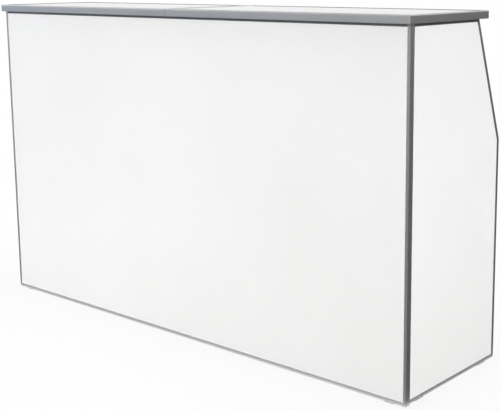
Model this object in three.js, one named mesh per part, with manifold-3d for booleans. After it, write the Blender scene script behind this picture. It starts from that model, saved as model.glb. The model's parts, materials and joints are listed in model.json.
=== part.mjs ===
// A folding portable bar. The front panel carries everything: two side panels hinged inside its rear corners,
// a counter in two pieces that lifts off and folds at its seam, and a shelf that flips up behind the
// front. Millimetres, +Z up. Guests stand on the -Y side and the bartender on the +Y side. The origin lies on
// the floor under the middle of the bar.
import * as THREE from 'three';
import { mergeVertices } from 'three/addons/utils/BufferGeometryUtils.js';
import Module from 'manifold-3d';

const wasm = await Module();
wasm.setup();

// Clearances
const FIT = 0.3;
const BUTT_GAP = 1;
const MITRE_GAP = 0.4;

// Counter
const COUNTER_LENGTH = 1829;
const COUNTER_DEPTH = 412;
const COUNTER_THICKNESS = 24;
const BAR_HEIGHT = 1092;
const FRONT_OVERHANG = 16;
const END_OVERHANG = 8;
const COUNTER_TRIM_WALL = 2.5;
const COUNTER_TOP_RADIUS = 4.5;
const COUNTER_LOW_RADIUS = 1;
const COUNTER_FIELD_RECESS = 1.5;
const SEAM_X = -18;

// Front and side panels
const PANEL_THICKNESS = 20;
const FIELD_RECESS = 0.8;
const SIDE_REACH_LOW = 486;
const SIDE_REACH_TOP = 353;
const KNEE_HEIGHT = 703;
const SIDE_FLOOR_GAP = 8;
const FRONT_FLOOR_GAP = 3;

// Edge trims
const TRIM_LIP = 11;
const POST_LIP = 9.5;
const TOP_TRIM_LIP = 7.5;
const TRIM_WALL = 1.6;
const TRIM_RADIUS = 0.8;
const EXPOSED_CORNER_RADIUS = 6;

// Continuous hinges
const LEAF_THICKNESS = 1.2;
const LEAF_WIDTH = 30;
const KNUCKLE_RADIUS = 4;
const KNUCKLE_PITCH = 92;
const KNUCKLE_GAP = 0.6;
const PIN_RADIUS = 2;
const HINGE_END_MARGIN = 12;

// Slim hinge across the counter's seam, its pin just above the counter's top
const COUNTER_LEAF_THICKNESS = 2;
const COUNTER_LEAF_WIDTH = 16;
const COUNTER_KNUCKLE_RADIUS = 1.4;
const COUNTER_PIN_RADIUS = 0.6;
const COUNTER_HINGE_RISE = 0.2;

// Shelf
const SHELF_DEPTH = 380;
const SHELF_THICKNESS = 18;
const SHELF_END_CLEARANCE = 20;
const SHELF_STOW_GAP = 48;
const MAGNET_WIDTH = 44;
const MAGNET_HEIGHT = 16;
const MAGNET_SETBACK = 22;
const STRIKE_THICKNESS = 1.2;

// Shelf brackets
const BRACKET_INSET = 4;
const BRACKET_REACH = 300;
const BRACKET_HEIGHT = 170;
const BRACKET_TIP = 18;
const BRACKET_THICKNESS = 5;
const BRACKET_FOOT = 26;
const BRACKET_RIM = 34;
const BRACKET_AXIS_OFFSET = 12;
const BARREL_RADIUS = 7;
const BRACKET_PIN_RADIUS = 3;
const LUG_THICKNESS = 4;
const LUG_RADIUS = 8;
const LUG_GAP = 0.6;
const WALL_PLATE_WIDTH = 40;
const WALL_PLATE_THICKNESS = 3;

// Turn buttons that hold the folded sides
const TURN_HEIGHT = 215;
const TURN_BLOCK_SIZE = 16;
const TURN_EDGE_CLEARANCE = 4;
const TURN_FACE_CLEARANCE = 0.6;
const BUTTON_LENGTH = 52;
const BUTTON_THICKNESS = 4;
const STUD_RADIUS = 3;
const STUD_HEAD_RADIUS = 6;
const STUD_HEAD_HEIGHT = 2.4;

// Feet, glides, dowels and the batten under the seam
const FOOT_LENGTH = 50;
const FOOT_WIDTH = 10;
const FOOT_SETBACK = 34;
const GLIDE_LENGTH = 40;
const GLIDE_WIDTH = 14;
const GLIDE_SETBACK = 60;
const DOWEL_PLACE = 600;
const DOWEL_RADIUS = 5;
const DOWEL_RISE = 12;
const DOWEL_DEPTH = 24;
const DOWEL_PLAY = 0.9;
const BATTEN_WIDTH = 40;
const BATTEN_THICKNESS = 5;
const BATTEN_SETBACK = 14;

// Places worked out from the sizes above
const FRONT_WIDTH = COUNTER_LENGTH - 2 * END_OVERHANG;
const COUNTER_UNDERSIDE = BAR_HEIGHT - COUNTER_THICKNESS;
const BODY_TOP = COUNTER_UNDERSIDE - FIT;
const OVERALL_DEPTH = Math.max(FRONT_OVERHANG + SIDE_REACH_LOW, COUNTER_DEPTH);
const COUNTER_FRONT_Y = -OVERALL_DEPTH / 2;
const COUNTER_REAR_Y = COUNTER_FRONT_Y + COUNTER_DEPTH;
const FRONT_FACE_Y = COUNTER_FRONT_Y + FRONT_OVERHANG;
const FRONT_BACK_Y = FRONT_FACE_Y + PANEL_THICKNESS;
const FRONT_MIDDLE_Y = FRONT_FACE_Y + PANEL_THICKNESS / 2;
const BACK_FIELD_Y = FRONT_BACK_Y - FIELD_RECESS;
const SIDE_FRONT_Y = FRONT_BACK_Y + BUTT_GAP;
const SIDE_REAR_Y = FRONT_FACE_Y + SIDE_REACH_LOW;
const SIDE_TOP_REAR_Y = FRONT_FACE_Y + SIDE_REACH_TOP;
const SIDE_INNER_X = FRONT_WIDTH / 2 - PANEL_THICKNESS;
const HINGE_OFFSET = KNUCKLE_RADIUS + FIT;
const SIDE_HINGE_X = SIDE_INNER_X + FIELD_RECESS - HINGE_OFFSET;
const SIDE_HINGE_Y = BACK_FIELD_Y + HINGE_OFFSET;
const FOLDED_EDGE_X = SIDE_HINGE_X - (SIDE_REAR_Y - SIDE_HINGE_Y);
const FOLDED_FACE_Y = SIDE_HINGE_Y + HINGE_OFFSET + PANEL_THICKNESS - FIELD_RECESS;
const SHELF_HALF = FOLDED_EDGE_X - SHELF_END_CLEARANCE;
const SHELF_TOP = COUNTER_UNDERSIDE - SHELF_STOW_GAP - SHELF_DEPTH;
const SHELF_FRONT_Y = BACK_FIELD_Y + FIELD_RECESS + BUTT_GAP;
const SHELF_HINGE_Y = BACK_FIELD_Y + HINGE_OFFSET;
const SHELF_HINGE_Z = SHELF_TOP - TRIM_WALL - FIT + HINGE_OFFSET;
const SHELF_FOLDED_GAP = HINGE_OFFSET + SHELF_HINGE_Z - SHELF_TOP + FIELD_RECESS;
const STRIKE_Y = SHELF_FRONT_Y + SHELF_DEPTH - TRIM_LIP - MAGNET_SETBACK;
const MAGNET_Z = SHELF_HINGE_Z + STRIKE_Y - SHELF_HINGE_Y;
const BRACKET_X = SHELF_HALF - TRIM_LIP - BRACKET_INSET - WALL_PLATE_WIDTH / 2;
const BRACKET_TOP = SHELF_TOP - SHELF_THICKNESS + FIELD_RECESS - FIT;
const BRACKET_Y = BACK_FIELD_Y + BRACKET_AXIS_OFFSET;
const TURN_X = FOLDED_EDGE_X - TURN_EDGE_CLEARANCE - TURN_BLOCK_SIZE / 2;
const COUNTER_HINGE_Z = BAR_HEIGHT + COUNTER_HINGE_RISE;
const COUNTER_HINGE_SEAT = COUNTER_TRIM_WALL + COUNTER_HINGE_RISE;

const X = new THREE.Vector3(1, 0, 0);
const Y = new THREE.Vector3(0, 1, 0);
const Z = new THREE.Vector3(0, 0, 1);
const ROUND_SIDES = 12;
const CORNER_SEGMENTS = 3;

const finish = (color, roughness, metalness) =>
  new THREE.MeshStandardMaterial({ color, roughness, metalness, flatShading: true });
const laminate = finish(0xf1f0ee, 0.3, 0);
const aluminium = finish(0x9a9da2, 0.38, 0.9);
const steel = finish(0x8d9096, 0.35, 0.95);
const whiteCoat = finish(0xe6e6e4, 0.45, 0.1);
const rubber = finish(0x1d1d1e, 0.8, 0);
const greyPlastic = finish(0x6f7276, 0.55, 0);

// Closed geometry to solid and back, so that pieces can be joined and cut

function toSolid(geometry) {
  geometry.deleteAttribute('normal');
  geometry.deleteAttribute('uv');
  const merged = mergeVertices(geometry);
  const mesh = new wasm.Mesh({
    numProp: 3,
    vertProperties: new Float32Array(merged.attributes.position.array),
    triVerts: new Uint32Array(merged.index.array),
  });
  return new wasm.Manifold(mesh);
}

function toGeometry(solid) {
  const mesh = solid.getMesh();
  const geometry = new THREE.BufferGeometry();
  geometry.setAttribute('position', new THREE.BufferAttribute(mesh.vertProperties, 3));
  geometry.setIndex(new THREE.BufferAttribute(mesh.triVerts, 1));
  geometry.computeVertexNormals();
  return geometry;
}

function block(low, high) {
  const size = high.map((value, axis) => value - low[axis]);
  const centre = high.map((value, axis) => (value + low[axis]) / 2);
  return toSolid(new THREE.BoxGeometry(...size).translate(...centre));
}

// A round bar along Z, from low to high.
function rod(radius, low, high, sides = ROUND_SIDES) {
  const bar = new THREE.CylinderGeometry(radius, radius, high - low, sides);
  return toSolid(bar.rotateX(Math.PI / 2).translate(0, 0, (low + high) / 2));
}

function prism(outline, low, high) {
  const shape = new THREE.Shape(outline);
  const slab = new THREE.ExtrudeGeometry(shape, { depth: high - low, bevelEnabled: false });
  return toSolid(slab.translate(0, 0, low));
}

// A flat bar with round ends, centred on the origin, its thickness upwards from Z = 0.
function stadium(length, width, thickness) {
  const radius = width / 2;
  const reach = length / 2 - radius;
  const shape = new THREE.Shape();
  shape.absarc(reach, 0, radius, -Math.PI / 2, Math.PI / 2, false);
  shape.absarc(-reach, 0, radius, Math.PI / 2, Math.PI * 1.5, false);
  return new THREE.ExtrudeGeometry(shape, { depth: thickness, bevelEnabled: false, curveSegments: 4 });
}

const points = (pairs) => pairs.map(([x, y]) => new THREE.Vector2(x, y));

// An anticlockwise outline with each edge moved inwards by its own distance.
function inset(outline, distances) {
  const count = outline.length;
  const lines = outline.map((start, index) => {
    const along = outline[(index + 1) % count].clone().sub(start).normalize();
    const inwards = new THREE.Vector2(-along.y, along.x);
    return { start: start.clone().addScaledVector(inwards, distances[index]), along };
  });
  return lines.map((line, index) => {
    const before = lines[(index + count - 1) % count];
    const between = line.start.clone().sub(before.start);
    const reach = between.cross(line.along) / before.along.cross(line.along);
    return before.start.clone().addScaledVector(before.along, reach);
  });
}

// An anticlockwise outline with each corner rounded to its own radius.
function roundCorners(outline, radii) {
  const shape = new THREE.Shape();
  outline.forEach((corner, index) => {
    const radius = radii[index];
    const half = cornerAngle(outline, index) / 2;
    const ahead = outline[(index + 1) % outline.length].clone().sub(corner).normalize();
    const inwards = new THREE.Vector2(-ahead.y, ahead.x);
    const tangent = corner.clone().addScaledVector(ahead, radius / Math.tan(half));
    const centre = tangent.addScaledVector(inwards, radius);
    const arcEnd = inwards.negate().angle();
    shape.absarc(centre.x, centre.y, radius, arcEnd - Math.PI + 2 * half, arcEnd, false);
  });
  return shape.getPoints(CORNER_SEGMENTS);
}

// Panels: a board with raised fields, and a U-shaped channel pressed over each trimmed edge

const panelChannel = {
  lip: TRIM_LIP,
  wall: TRIM_WALL,
  thickness: PANEL_THICKNESS,
  lowRadius: TRIM_RADIUS,
  highRadius: TRIM_RADIUS,
};
const shelfChannel = { ...panelChannel, thickness: SHELF_THICKNESS };
const counterChannel = {
  lip: TRIM_LIP,
  wall: COUNTER_TRIM_WALL,
  thickness: COUNTER_THICKNESS,
  lowRadius: COUNTER_LOW_RADIUS,
  highRadius: COUNTER_TOP_RADIUS,
};

function channelSection({ lip, wall, thickness, lowRadius, highRadius }) {
  const shape = new THREE.Shape();
  shape.moveTo(lip, 0);
  shape.lineTo(lowRadius, 0);
  shape.absarc(lowRadius, lowRadius, lowRadius, Math.PI * 1.5, Math.PI, true);
  shape.lineTo(0, thickness - highRadius);
  shape.absarc(highRadius, thickness - highRadius, highRadius, Math.PI, Math.PI / 2, true);
  shape.lineTo(lip, thickness);
  shape.lineTo(lip, thickness - wall);
  shape.lineTo(wall, thickness - wall);
  shape.lineTo(wall, wall);
  shape.lineTo(lip, wall);
  return shape;
}

// An edge may have a lip of its own.
const lipOf = (edge, channel) => edge.lip ?? channel.lip;

// How a channel ends at a corner of its panel: the gap is measured along the edge, and the slope is the extra
// gap for each millimetre into the panel. A mitre runs to the point where the two lips' inner edges meet.
function endCut(edge, neighbour, angle, channel) {
  if (!neighbour || edge.through) {
    return { gap: 0, slope: 0 };
  }
  if (neighbour.through) {
    return { gap: lipOf(neighbour, channel) + FIT, slope: 0 };
  }
  const lipRatio = lipOf(neighbour, channel) / lipOf(edge, channel);
  const slope = (lipRatio + Math.cos(angle)) / Math.sin(angle);
  return { gap: (MITRE_GAP / 2) * Math.hypot(1, slope), slope };
}

function cornerAngle(outline, index) {
  const count = outline.length;
  const corner = outline[index % count];
  const ahead = outline[(index + 1) % count].clone().sub(corner);
  const behind = outline[(index + count - 1) % count].clone().sub(corner);
  return Math.acos(ahead.normalize().dot(behind.normalize()));
}

function edgeTrim(outline, edges, index, channel) {
  const count = outline.length;
  const start = outline[index];
  const along = outline[(index + 1) % count].clone().sub(start);
  const length = along.length();
  along.normalize();
  const before = edges[(index + count - 1) % count];
  const after = edges[(index + 1) % count];
  const startCut = endCut(edges[index], before, cornerAngle(outline, index), channel);
  const finishCut = endCut(edges[index], after, cornerAngle(outline, index + 1), channel);
  const settings = { depth: length, bevelEnabled: false, curveSegments: 2 };
  const section = channelSection({ ...channel, lip: lipOf(edges[index], channel) });
  const geometry = new THREE.ExtrudeGeometry(section, settings);
  const position = geometry.attributes.position;
  for (let vertex = 0; vertex < position.count; vertex += 1) {
    const into = position.getX(vertex);
    const atStart = position.getZ(vertex) < length / 2;
    const place = atStart
      ? startCut.gap + into * startCut.slope
      : length - finishCut.gap - into * finishCut.slope;
    position.setZ(vertex, place);
  }
  const inwards = new THREE.Vector3(-along.y, along.x, 0);
  const basis = new THREE.Matrix4().makeBasis(inwards, Z, new THREE.Vector3(along.x, along.y, 0));
  geometry.applyMatrix4(basis.setPosition(start.x, start.y, 0));
  return toSolid(geometry);
}

function panelBoard(outline, edges, channel, recess, highSetback = 0) {
  const seat = channel.wall + FIT;
  const middle = channel.thickness / 2;
  const seated = inset(outline, edges.map((edge) => (edge ? seat : 0)));
  const field = (setback) =>
    inset(outline, edges.map((edge) => (edge ? lipOf(edge, channel) + FIT : setback)));
  const slab = prism(seated, seat, channel.thickness - seat);
  const lowField = prism(field(0), recess.low, middle);
  const highField = prism(field(highSetback), middle, channel.thickness - recess.high);
  return slab.add(lowField).add(highField);
}

function addPart(parent, name, shape, material) {
  const geometry = shape.isBufferGeometry ? shape : toGeometry(shape);
  const mesh = new THREE.Mesh(geometry, material);
  mesh.name = name;
  parent.add(mesh);
  return mesh;
}

function addTrims(parent, outline, edges, channel) {
  edges.forEach((edge, index) => {
    if (edge) {
      addPart(parent, edge.name, edgeTrim(outline, edges, index, channel), aluminium);
    }
  });
}

// Trims of a loose-edged panel, whose corners between two trims are rounded off.
function addRoundedTrims(parent, outline, edges, channel) {
  const count = edges.length;
  const radii = edges.map((edge, index) => {
    const before = edges[(index + count - 1) % count];
    return edge && before ? EXPOSED_CORNER_RADIUS : 0;
  });
  const rounded = roundCorners(outline, radii);
  const envelope = prism(rounded, -channel.thickness, 2 * channel.thickness);
  edges.forEach((edge, index) => {
    if (edge) {
      const trim = edgeTrim(outline, edges, index, channel).intersect(envelope);
      addPart(parent, edge.name, trim, aluminium);
    }
  });
}

// Continuous hinges. A leaf is drawn with the pin along Z and its plate along +X, seated on a face at +Y.

function hingeOf({ length, knuckleRadius, pinRadius, leafWidth, thickness, seatDepth, material }) {
  const knuckles = 2 * Math.round(length / KNUCKLE_PITCH / 2) + 1;
  const pitch = length / knuckles;
  return { length, knuckleRadius, pinRadius, leafWidth, thickness, seatDepth, material, knuckles, pitch };
}

const steelHinge = (length) => hingeOf({
  length,
  knuckleRadius: KNUCKLE_RADIUS,
  pinRadius: PIN_RADIUS,
  leafWidth: LEAF_WIDTH,
  thickness: LEAF_THICKNESS,
  seatDepth: KNUCKLE_RADIUS,
  material: steel,
});

function hingeLeaf(hinge, firstKnuckle) {
  const { length, knuckleRadius, pinRadius, leafWidth, thickness, seatDepth, knuckles, pitch } = hinge;
  const plateStart = knuckleRadius + KNUCKLE_GAP;
  const inner = seatDepth - thickness;
  let leaf = block([plateStart, inner, -length / 2], [leafWidth, seatDepth, length / 2]);
  for (let knuckle = firstKnuckle; knuckle < knuckles; knuckle += 2) {
    const low = -length / 2 + knuckle * pitch + KNUCKLE_GAP / 2;
    const high = low + pitch - KNUCKLE_GAP;
    leaf = leaf.add(block([0, inner, low], [plateStart + thickness, seatDepth, high]));
    leaf = leaf.add(rod(knuckleRadius, low, high));
  }
  return leaf.subtract(rod(pinRadius + FIT, -length, length));
}

// Turns a hinge piece so that its plate runs along one direction and its seat faces another.
function aim(mesh, along, seat, place) {
  const axis = along.clone().cross(seat);
  mesh.quaternion.setFromRotationMatrix(new THREE.Matrix4().makeBasis(along, seat, axis));
  mesh.position.set(...place);
}

function addLeaf(parent, name, hinge, firstKnuckle, along, seat, place) {
  aim(addPart(parent, name, hingeLeaf(hinge, firstKnuckle), hinge.material), along, seat, place);
}

function addHingePin(parent, name, hinge, along, seat, place) {
  const pin = rod(hinge.pinRadius, -hinge.length / 2, hinge.length / 2);
  aim(addPart(parent, name, pin, hinge.material), along, seat, place);
}

const minus = (direction) => direction.clone().negate();

// Front panel with its corner posts, rails, glides and the dowels that locate the counter

function dowelHoles(radius, low, high) {
  const drill = (x) => rod(radius, low, high).translate([x, FRONT_MIDDLE_Y, 0]);
  return drill(-DOWEL_PLACE).add(drill(DOWEL_PLACE));
}

function addFront(bar) {
  const front = new THREE.Group();
  bar.add(front);
  const half = FRONT_WIDTH / 2;
  const outline = points([
    [-half, FRONT_FLOOR_GAP],
    [half, FRONT_FLOOR_GAP],
    [half, BODY_TOP],
    [-half, BODY_TOP],
  ]);
  const edges = [
    { name: 'front_trim_bottom' },
    { name: 'front_trim_right', through: true, lip: POST_LIP },
    { name: 'front_trim_top', lip: TOP_TRIM_LIP },
    { name: 'front_trim_left', through: true, lip: POST_LIP },
  ];
  const panel = new THREE.Group();
  panel.rotation.x = Math.PI / 2;
  panel.position.y = FRONT_BACK_Y;
  front.add(panel);
  const recess = { low: FIELD_RECESS, high: FIELD_RECESS };
  const upright = dowelHoles(DOWEL_RADIUS + FIT, BODY_TOP - DOWEL_DEPTH - FIT, BAR_HEIGHT);
  const holes = upright.translate([0, -FRONT_BACK_Y, 0]).rotate([-90, 0, 0]);
  const board = panelBoard(outline, edges, panelChannel, recess);
  addPart(panel, 'front_panel_board', board.subtract(holes), laminate);
  edges.forEach((edge, index) => {
    const trim = edgeTrim(outline, edges, index, panelChannel);
    addPart(panel, edge.name, trim.subtract(holes), aluminium);
  });
  for (const [side, sign] of [['left', -1], ['right', 1]]) {
    const dowel = rod(DOWEL_RADIUS, BODY_TOP - DOWEL_DEPTH, BODY_TOP + DOWEL_RISE);
    addPart(front, `counter_dowel_${side}`, dowel, steel).position.set(sign * DOWEL_PLACE, FRONT_MIDDLE_Y, 0);
    const glide = stadium(GLIDE_LENGTH, GLIDE_WIDTH, FRONT_FLOOR_GAP - FIT);
    const glideMesh = addPart(front, `front_glide_${side}`, glide, greyPlastic);
    glideMesh.position.set(sign * (half - GLIDE_SETBACK), FRONT_MIDDLE_Y, 0);
  }
}

// Side panels, hinged inside the rear corners of the front

const sideLow = SIDE_FLOOR_GAP + TRIM_LIP + FIT + HINGE_END_MARGIN;
const sideHigh = BODY_TOP - TOP_TRIM_LIP - FIT - HINGE_END_MARGIN;
const sideHinge = steelHinge(sideHigh - sideLow);

function addSide(bar, side, sign) {
  const group = new THREE.Group();
  bar.add(group);
  const outline = points([
    [SIDE_FRONT_Y, SIDE_FLOOR_GAP],
    [SIDE_REAR_Y, SIDE_FLOOR_GAP],
    [SIDE_REAR_Y, KNEE_HEIGHT],
    [SIDE_TOP_REAR_Y, BODY_TOP],
    [SIDE_FRONT_Y, BODY_TOP],
  ]);
  const edges = [
    { name: `${side}_side_trim_bottom` },
    { name: `${side}_side_trim_rear` },
    { name: `${side}_side_trim_slope` },
    { name: `${side}_side_trim_top`, lip: TOP_TRIM_LIP },
    null,
  ];
  const panel = new THREE.Group();
  panel.rotation.set(Math.PI / 2, Math.PI / 2, 0);
  panel.position.x = sign > 0 ? SIDE_INNER_X : -FRONT_WIDTH / 2;
  group.add(panel);
  const recess = { low: FIELD_RECESS, high: FIELD_RECESS };
  addPart(panel, `${side}_side_board`, panelBoard(outline, edges, panelChannel, recess), laminate);
  addTrims(panel, outline, edges, panelChannel);

  const place = [sign * SIDE_HINGE_X, SIDE_HINGE_Y, (sideLow + sideHigh) / 2];
  const outwards = X.clone().multiplyScalar(sign);
  addLeaf(bar, `${side}_hinge_fixed_leaf`, sideHinge, 0, minus(outwards), minus(Y), place);
  addLeaf(group, `${side}_hinge_moving_leaf`, sideHinge, 1, Y, outwards, place);
  addHingePin(bar, `${side}_hinge_pin`, sideHinge, Y, outwards, place);

  const footX = sign * (SIDE_INNER_X + TRIM_WALL + FOOT_WIDTH / 2);
  const footPlaces = {
    front: SIDE_FRONT_Y + FOOT_SETBACK + FOOT_LENGTH / 2,
    rear: SIDE_REAR_Y - FOOT_SETBACK - FOOT_LENGTH / 2,
  };
  for (const [end, footY] of Object.entries(footPlaces)) {
    const foot = stadium(FOOT_LENGTH, FOOT_WIDTH, SIDE_FLOOR_GAP - FIT).rotateZ(Math.PI / 2);
    addPart(group, `${side}_side_foot_${end}`, foot, rubber).position.set(footX, footY, 0);
  }
}

// Counter pieces, hinged along their top edge at the seam

const counterHingeLength = COUNTER_DEPTH - 2 * (TRIM_LIP + FIT + HINGE_END_MARGIN / 2);
const counterHinge = hingeOf({
  length: counterHingeLength,
  knuckleRadius: COUNTER_KNUCKLE_RADIUS,
  pinRadius: COUNTER_PIN_RADIUS,
  leafWidth: COUNTER_LEAF_WIDTH,
  thickness: COUNTER_LEAF_THICKNESS,
  seatDepth: COUNTER_HINGE_SEAT,
  material: whiteCoat,
});

function addCounterPiece(bar, side, sign) {
  const group = new THREE.Group();
  bar.add(group);
  const seamGap = BUTT_GAP / 2;
  const end = COUNTER_LENGTH / 2;
  const low = sign > 0 ? SEAM_X + seamGap : -end;
  const high = sign > 0 ? end : SEAM_X - seamGap;
  const outline = points([
    [low, COUNTER_FRONT_Y],
    [high, COUNTER_FRONT_Y],
    [high, COUNTER_REAR_Y],
    [low, COUNTER_REAR_Y],
  ]);
  const trim = (edge) => ({ name: `counter_${side}_trim_${edge}` });
  const edges = [trim('front'), trim('end'), trim('rear'), null];
  if (sign < 0) {
    edges[1] = null;
    edges[3] = trim('end');
  }
  const panel = new THREE.Group();
  panel.position.z = COUNTER_UNDERSIDE;
  group.add(panel);
  const recess = { low: 0, high: COUNTER_FIELD_RECESS };
  const rebate = COUNTER_LEAF_WIDTH + FIT - seamGap;
  const board = panelBoard(outline, edges, counterChannel, recess, rebate);
  const sockets = dowelHoles(DOWEL_RADIUS + DOWEL_PLAY, -COUNTER_THICKNESS, DOWEL_RISE + DOWEL_PLAY);
  addPart(panel, `counter_${side}_board`, board.subtract(sockets), laminate);
  addRoundedTrims(panel, outline, edges, counterChannel);
  return group;
}

function addCounter(bar) {
  const right = addCounterPiece(bar, 'right', 1);
  const left = addCounterPiece(bar, 'left', -1);
  const place = [SEAM_X, (COUNTER_FRONT_Y + COUNTER_REAR_Y) / 2, COUNTER_HINGE_Z];
  addLeaf(right, 'counter_hinge_right_leaf', counterHinge, 0, X, minus(Z), place);
  addLeaf(left, 'counter_hinge_left_leaf', counterHinge, 1, minus(X), minus(Z), place);
  addHingePin(right, 'counter_hinge_pin', counterHinge, X, minus(Z), place);

  const battenTop = COUNTER_UNDERSIDE - FIT;
  const batten = block(
    [SEAM_X - BATTEN_WIDTH / 2, FRONT_BACK_Y + BATTEN_SETBACK, battenTop - BATTEN_THICKNESS],
    [SEAM_X + BATTEN_WIDTH / 2, COUNTER_REAR_Y - BATTEN_SETBACK, battenTop],
  );
  addPart(right, 'counter_seam_batten', batten, aluminium);
}

// Shelf, hinged on its top face so that it flips up flat against the front

const shelfHingeLength = 2 * (SHELF_HALF - TRIM_LIP - FIT - HINGE_END_MARGIN);
const shelfHinge = steelHinge(shelfHingeLength);

function addShelf(bar) {
  const group = new THREE.Group();
  bar.add(group);
  const rear = SHELF_FRONT_Y + SHELF_DEPTH;
  const outline = points([
    [-SHELF_HALF, SHELF_FRONT_Y],
    [SHELF_HALF, SHELF_FRONT_Y],
    [SHELF_HALF, rear],
    [-SHELF_HALF, rear],
  ]);
  const edges = [
    null,
    { name: 'shelf_trim_right' },
    { name: 'shelf_trim_rear' },
    { name: 'shelf_trim_left' },
  ];
  const panel = new THREE.Group();
  panel.position.z = SHELF_TOP - SHELF_THICKNESS;
  group.add(panel);
  const strikeTop = SHELF_THICKNESS - FIELD_RECESS;
  const strikeBox = (margin) => {
    const halfWidth = MAGNET_WIDTH / 2 + margin;
    const halfHeight = MAGNET_HEIGHT / 2 + margin;
    return block(
      [-halfWidth, STRIKE_Y - halfHeight, strikeTop - STRIKE_THICKNESS - margin],
      [halfWidth, STRIKE_Y + halfHeight, strikeTop + margin],
    );
  };
  const recess = { low: FIELD_RECESS, high: FIELD_RECESS };
  const rebate = SHELF_HINGE_Y + LEAF_WIDTH + FIT - SHELF_FRONT_Y;
  const board = panelBoard(outline, edges, shelfChannel, recess, rebate);
  addPart(panel, 'shelf_board', board.subtract(strikeBox(FIT)), laminate);
  addRoundedTrims(panel, outline, edges, shelfChannel);
  addPart(panel, 'shelf_strike_plate', strikeBox(0), steel);

  const place = [0, SHELF_HINGE_Y, SHELF_HINGE_Z];
  addLeaf(bar, 'shelf_hinge_fixed_leaf', shelfHinge, 0, Z, minus(Y), place);
  addLeaf(group, 'shelf_hinge_moving_leaf', shelfHinge, 1, Y, minus(Z), place);
  addHingePin(bar, 'shelf_hinge_pin', shelfHinge, Y, minus(Z), place);

  const magnet = block(
    [-MAGNET_WIDTH / 2, BACK_FIELD_Y + FIT, MAGNET_Z - MAGNET_HEIGHT / 2],
    [MAGNET_WIDTH / 2, BACK_FIELD_Y + SHELF_FOLDED_GAP - FIT, MAGNET_Z + MAGNET_HEIGHT / 2],
  );
  addPart(bar, 'shelf_hold_magnet', magnet, greyPlastic);
}

// Brackets under the shelf. Each arm turns on an upright pin between the two lugs of its wall plate.

function bracketArm() {
  const notch = LUG_RADIUS + LUG_GAP;
  const low = -BRACKET_HEIGHT;
  const lugZone = LUG_THICKNESS + LUG_GAP;
  const outer = points([
    [0, low + lugZone],
    [notch, low + lugZone],
    [notch, low],
    [BRACKET_FOOT, low],
    [BRACKET_REACH, -BRACKET_TIP],
    [BRACKET_REACH, 0],
    [notch, 0],
    [notch, -lugZone],
    [0, -lugZone],
  ]);
  const triangle = points([[0, 0], [0, low], [BRACKET_REACH, 0]]);
  const window = inset(triangle, [BRACKET_RIM, BRACKET_RIM, BRACKET_RIM]);
  const cut = prism(window, -BRACKET_THICKNESS, BRACKET_THICKNESS);
  const web = prism(outer, -BRACKET_THICKNESS / 2, BRACKET_THICKNESS / 2).subtract(cut);
  const upright = web.rotate([90, 0, 90]);
  const barrel = rod(BARREL_RADIUS, low + lugZone, -lugZone);
  return upright.add(barrel).subtract(rod(BRACKET_PIN_RADIUS + FIT, low, 0));
}

function bracketWallPlate() {
  const back = BACK_FIELD_Y + FIT - BRACKET_Y;
  const half = WALL_PLATE_WIDTH / 2;
  const plateFace = back + WALL_PLATE_THICKNESS;
  let plate = block([-half, back, -BRACKET_HEIGHT], [half, plateFace, 0]);
  for (const low of [-BRACKET_HEIGHT, -LUG_THICKNESS]) {
    const high = low + LUG_THICKNESS;
    plate = plate.add(block([-LUG_RADIUS, back, low], [LUG_RADIUS, 0, high]));
    plate = plate.add(rod(LUG_RADIUS, low, high));
  }
  return plate.subtract(rod(BRACKET_PIN_RADIUS + FIT, -BRACKET_HEIGHT * 2, BRACKET_HEIGHT));
}

function addBracket(bar, side, sign) {
  const place = [sign * BRACKET_X, BRACKET_Y, BRACKET_TOP];
  const pin = rod(BRACKET_PIN_RADIUS, -BRACKET_HEIGHT, 0);
  addPart(bar, `${side}_bracket_wall_plate`, bracketWallPlate(), whiteCoat).position.set(...place);
  addPart(bar, `${side}_bracket_pin`, pin, steel).position.set(...place);
  addPart(bar, `${side}_bracket_arm`, bracketArm(), whiteCoat).position.set(...place);
}

// Turn buttons: a block with a headed stud on the back of the front, and a bar that turns on the stud

function addTurnButton(bar, side, sign) {
  const blockHeight = FOLDED_FACE_Y + TURN_FACE_CLEARANCE - BACK_FIELD_Y - FIT;
  const half = TURN_BLOCK_SIZE / 2;
  const headStart = blockHeight + BUTTON_THICKNESS + 2 * FIT;
  const base = block([-half, -half, 0], [half, half, blockHeight]);
  const stud = rod(STUD_RADIUS, blockHeight / 2, headStart + STUD_HEAD_HEIGHT);
  const head = rod(STUD_HEAD_RADIUS, headStart, headStart + STUD_HEAD_HEIGHT);
  const flatBar = toSolid(stadium(BUTTON_LENGTH, TURN_BLOCK_SIZE, BUTTON_THICKNESS).rotateZ(Math.PI / 2));
  const hanging = flatBar.translate([0, half - BUTTON_LENGTH / 2, blockHeight + FIT]);
  const button = hanging.subtract(rod(STUD_RADIUS + FIT, 0, headStart));
  const group = new THREE.Group();
  group.position.set(sign * TURN_X, BACK_FIELD_Y + FIT, TURN_HEIGHT);
  group.rotation.set(Math.PI / 2, Math.PI, 0);
  bar.add(group);
  addPart(group, `${side}_turn_block`, base.add(stud).add(head), greyPlastic);
  addPart(group, `${side}_turn_button`, button, greyPlastic);
}

const bar = new THREE.Group();
addFront(bar);
addCounter(bar);
addShelf(bar);
for (const [side, sign] of [['left', -1], ['right', 1]]) {
  addSide(bar, side, sign);
  addBracket(bar, side, sign);
  addTurnButton(bar, side, sign);
}

export default bar;
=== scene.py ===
"""Finishes, fasteners and studio for a folding portable bar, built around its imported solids."""

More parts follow.
